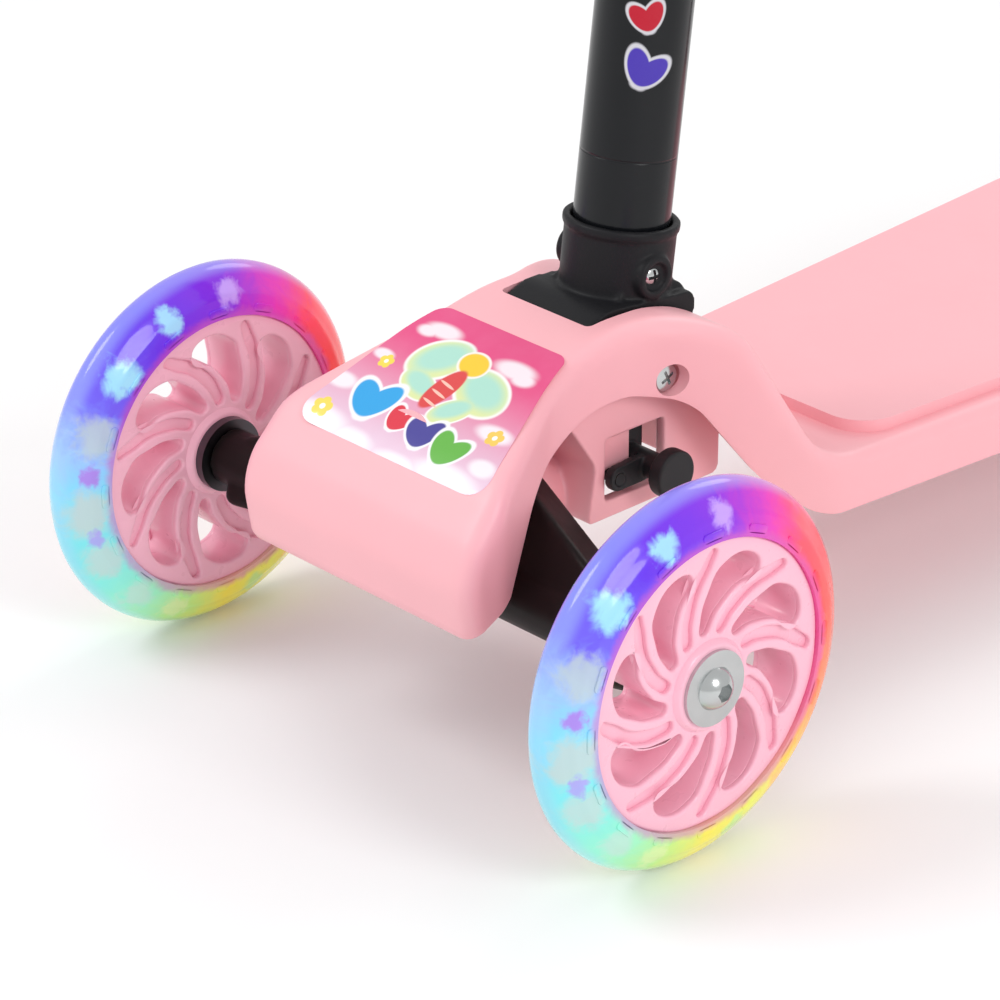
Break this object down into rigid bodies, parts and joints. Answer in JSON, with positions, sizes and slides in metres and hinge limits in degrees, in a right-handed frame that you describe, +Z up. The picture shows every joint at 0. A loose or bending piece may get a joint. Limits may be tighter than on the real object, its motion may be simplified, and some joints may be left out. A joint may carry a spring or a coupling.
{
  "type": "kick scooter",
  "caption": "Child's folding kick scooter with two lean-steered front wheels, a braked rear wheel, a pink moulded deck and a height-adjustable T-bar.",
  "frame": {"origin": "on the ground, under the middle of the bounding box, midway between the front wheels", "axes": "+Z up, the scooter's front towards -Y, the rider's left towards +X"},
  "size_m": [0.28, 0.5534, 0.6828],
  "materials": {
    "pink_plastic": "satin moulded",
    "hub_plastic": "glossy moulded",
    "clear_tyre": "clear rainbow-lit polyurethane",
    "light_module": "lit milky resin",
    "sticker": "gloss printed film",
    "black_plastic": "fine grained",
    "truck_plastic": "satin moulded",
    "black_paint": "gloss powder coat",
    "zinc_steel": "bright zinc plated",
    "ring_steel": "dark sintered steel",
    "bearing_steel": "ground steel",
    "nylon": "natural nylon",
    "tube_metal": "satin anodised",
    "grip_rubber": "soft moulded rubber",
    "fender_plastic": "satin moulded"
  },
  "bodies": {
    "deck": {"deck_shell": "pink_plastic", "fold_housing": "pink_plastic", "hood_sticker": "sticker", "fold_pin": "zinc_steel", "fold_screws": "zinc_steel", "latch_pin": "zinc_steel", "kingpin_bolt": "zinc_steel", "kingpin_nut": "zinc_steel", "centring_pads": "nylon", "rear_axle_bolt": "zinc_steel", "rear_axle_nut": "zinc_steel", "rear_spacers": "nylon", "brake_pin": "zinc_steel"},
    "truck": {"front_truck": "truck_plastic", "kingpin_bush": "nylon", "axle_bolts": "zinc_steel", "axle_washers": "zinc_steel", "axle_rings": "ring_steel"},
    "left_wheel": {"left_hub": "hub_plastic", "left_tyre": "clear_tyre", "left_lights": "light_module", "left_bearings": "bearing_steel"},
    "right_wheel": {"right_hub": "hub_plastic", "right_tyre": "clear_tyre", "right_lights": "light_module", "right_bearings": "bearing_steel"},
    "rear_wheel": {"rear_hub": "hub_plastic", "rear_tyre": "clear_tyre", "rear_lights": "light_module", "rear_bearings": "bearing_steel"},
    "stem": {"stem_socket": "black_plastic", "lower_tube": "black_paint", "socket_screws": "zinc_steel", "clamp_collar": "black_plastic", "slide_bush": "nylon", "clamp_bolt": "zinc_steel", "clamp_nut": "zinc_steel"},
    "clamp_lever": {"clamp_lever": "black_plastic"},
    "handlebar": {"upper_tube": "tube_metal", "tee_fitting": "black_plastic", "cross_bar": "black_paint", "left_grip": "grip_rubber", "right_grip": "grip_rubber"},
    "fold_latch": {"latch_lever": "black_plastic", "latch_knob": "black_plastic"},
    "brake_pedal": {"brake_pedal": "fender_plastic"}
  },
  "joints": [
    {"name": "lean_steer", "type": "hinge", "parent": "deck", "child": "truck", "pos_m": [0, -0.20375, 0.08252], "axis": [0, -0.866, 0.5], "range_deg": [-9, 9], "stiffness_Nm_per_rad": 40},
    {"name": "left_wheel_spin", "type": "hinge", "parent": "truck", "child": "left_wheel", "pos_m": [0.107, -0.21675, 0.06], "axis": [1, 0, 0], "continuous": true},
    {"name": "right_wheel_spin", "type": "hinge", "parent": "truck", "child": "right_wheel", "pos_m": [-0.107, -0.21675, 0.06], "axis": [1, 0, 0], "continuous": true},
    {"name": "rear_wheel_spin", "type": "hinge", "parent": "deck", "child": "rear_wheel", "pos_m": [0, 0.22825, 0.04], "axis": [1, 0, 0], "continuous": true},
    {"name": "stem_fold", "type": "hinge", "parent": "deck", "child": "stem", "pos_m": [0, -0.14775, 0.106], "axis": [-1, 0, 0], "range_deg": [0, 75]},
    {"name": "height_slide", "type": "slide", "parent": "stem", "child": "handlebar", "axis": [0, 0.1262, 0.992], "range_m": [0, 0.11]},
    {"name": "clamp_lever_turn", "type": "hinge", "parent": "stem", "child": "clamp_lever", "pos_m": [0, -0.0822, 0.39904], "axis": [1, 0, 0], "range_deg": [0, 100]},
    {"name": "fold_latch_press", "type": "hinge", "parent": "deck", "child": "fold_latch", "pos_m": [0, -0.16325, 0.0757], "axis": [-1, 0, 0], "range_deg": [0, 12], "stiffness_Nm_per_rad": 0.4, "springref_deg": -11.46},
    {"name": "brake_press", "type": "hinge", "parent": "deck", "child": "brake_pedal", "pos_m": [0, 0.17925, 0.077], "axis": [-1, 0, 0], "range_deg": [0, 3], "stiffness_Nm_per_rad": 3, "springref_deg": -5.73}
  ]
}
